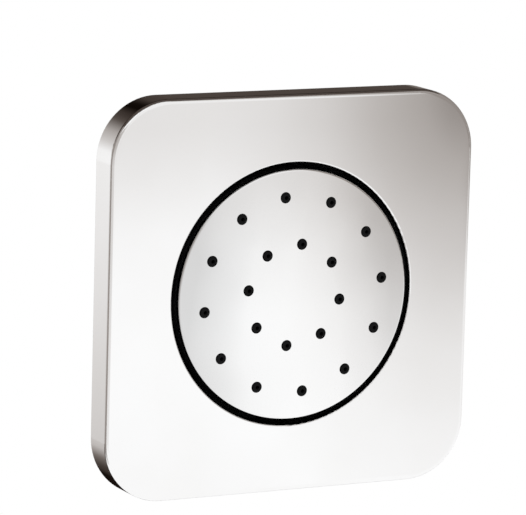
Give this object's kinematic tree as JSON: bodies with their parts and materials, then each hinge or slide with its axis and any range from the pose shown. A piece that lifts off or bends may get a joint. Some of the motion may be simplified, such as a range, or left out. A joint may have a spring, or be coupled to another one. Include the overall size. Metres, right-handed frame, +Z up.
{
  "type": "shower body jet",
  "caption": "Square chromed wall plate with rounded corners and a round, domed spray disc with two rings of soft nozzles that swivels on a ball joint in a wall housing.",
  "frame": {"origin": "centre of the plate on the wall plane, at the middle of the four wall screws", "axes": "+Z up, +Y into the wall, -Y the way the spray leaves, +X to the right seen from the front"},
  "size_m": [0.1, 0.0592, 0.1],
  "materials": {
    "plate_chrome": "polished chrome plate",
    "disc_chrome": "polished chrome plate, faintly rippled",
    "nozzle_rubber": "moulded silicone, satin",
    "chamber_plastic": "moulded black, fine texture",
    "housing_plastic": "moulded dark grey, fine texture",
    "inlet_brass": "turned, lightly dulled",
    "seal_rubber": "moulded, satin",
    "gasket_foam": "closed-cell foam, matte",
    "white_plastic": "moulded, slightly waxy",
    "screw_steel": "passivated"
  },
  "bodies": {
    "wall_set": {"face_plate": "plate_chrome", "grub_screw": "screw_steel", "plate_gasket": "gasket_foam", "wall_housing": "housing_plastic", "flange_seal": "seal_rubber", "ball_inlet": "inlet_brass", "stem_seal": "seal_rubber", "lock_washer": "screw_steel", "lock_nut": "inlet_brass", "flow_regulator": "white_plastic", "regulator_o_ring": "seal_rubber", "inlet_strainer": "white_plastic"},
    "tilt_cup": {"cup_seal": "seal_rubber"},
    "tilt_ring": {"rear_seat": "white_plastic"},
    "spray_head": {"spray_disc": "disc_chrome", "nozzle_mat": "nozzle_rubber", "spray_chamber": "chamber_plastic", "disc_screws": "screw_steel", "ball_nut": "inlet_brass", "slip_washer": "white_plastic"}
  },
  "joints": [
    {"name": "tilt_up_down", "type": "hinge", "parent": "wall_set", "child": "tilt_cup", "pos_m": [0, 0.00559, 0], "axis": [1, 0, 0], "range_deg": [-7, 7]},
    {"name": "tilt_sideways", "type": "hinge", "parent": "tilt_cup", "child": "tilt_ring", "pos_m": [0, 0.00559, 0], "axis": [0, 0, 1], "range_deg": [-7, 7]},
    {"name": "spin", "type": "hinge", "parent": "tilt_ring", "child": "spray_head", "pos_m": [0, 0.00559, 0], "axis": [0, 1, 0], "continuous": true}
  ]
}
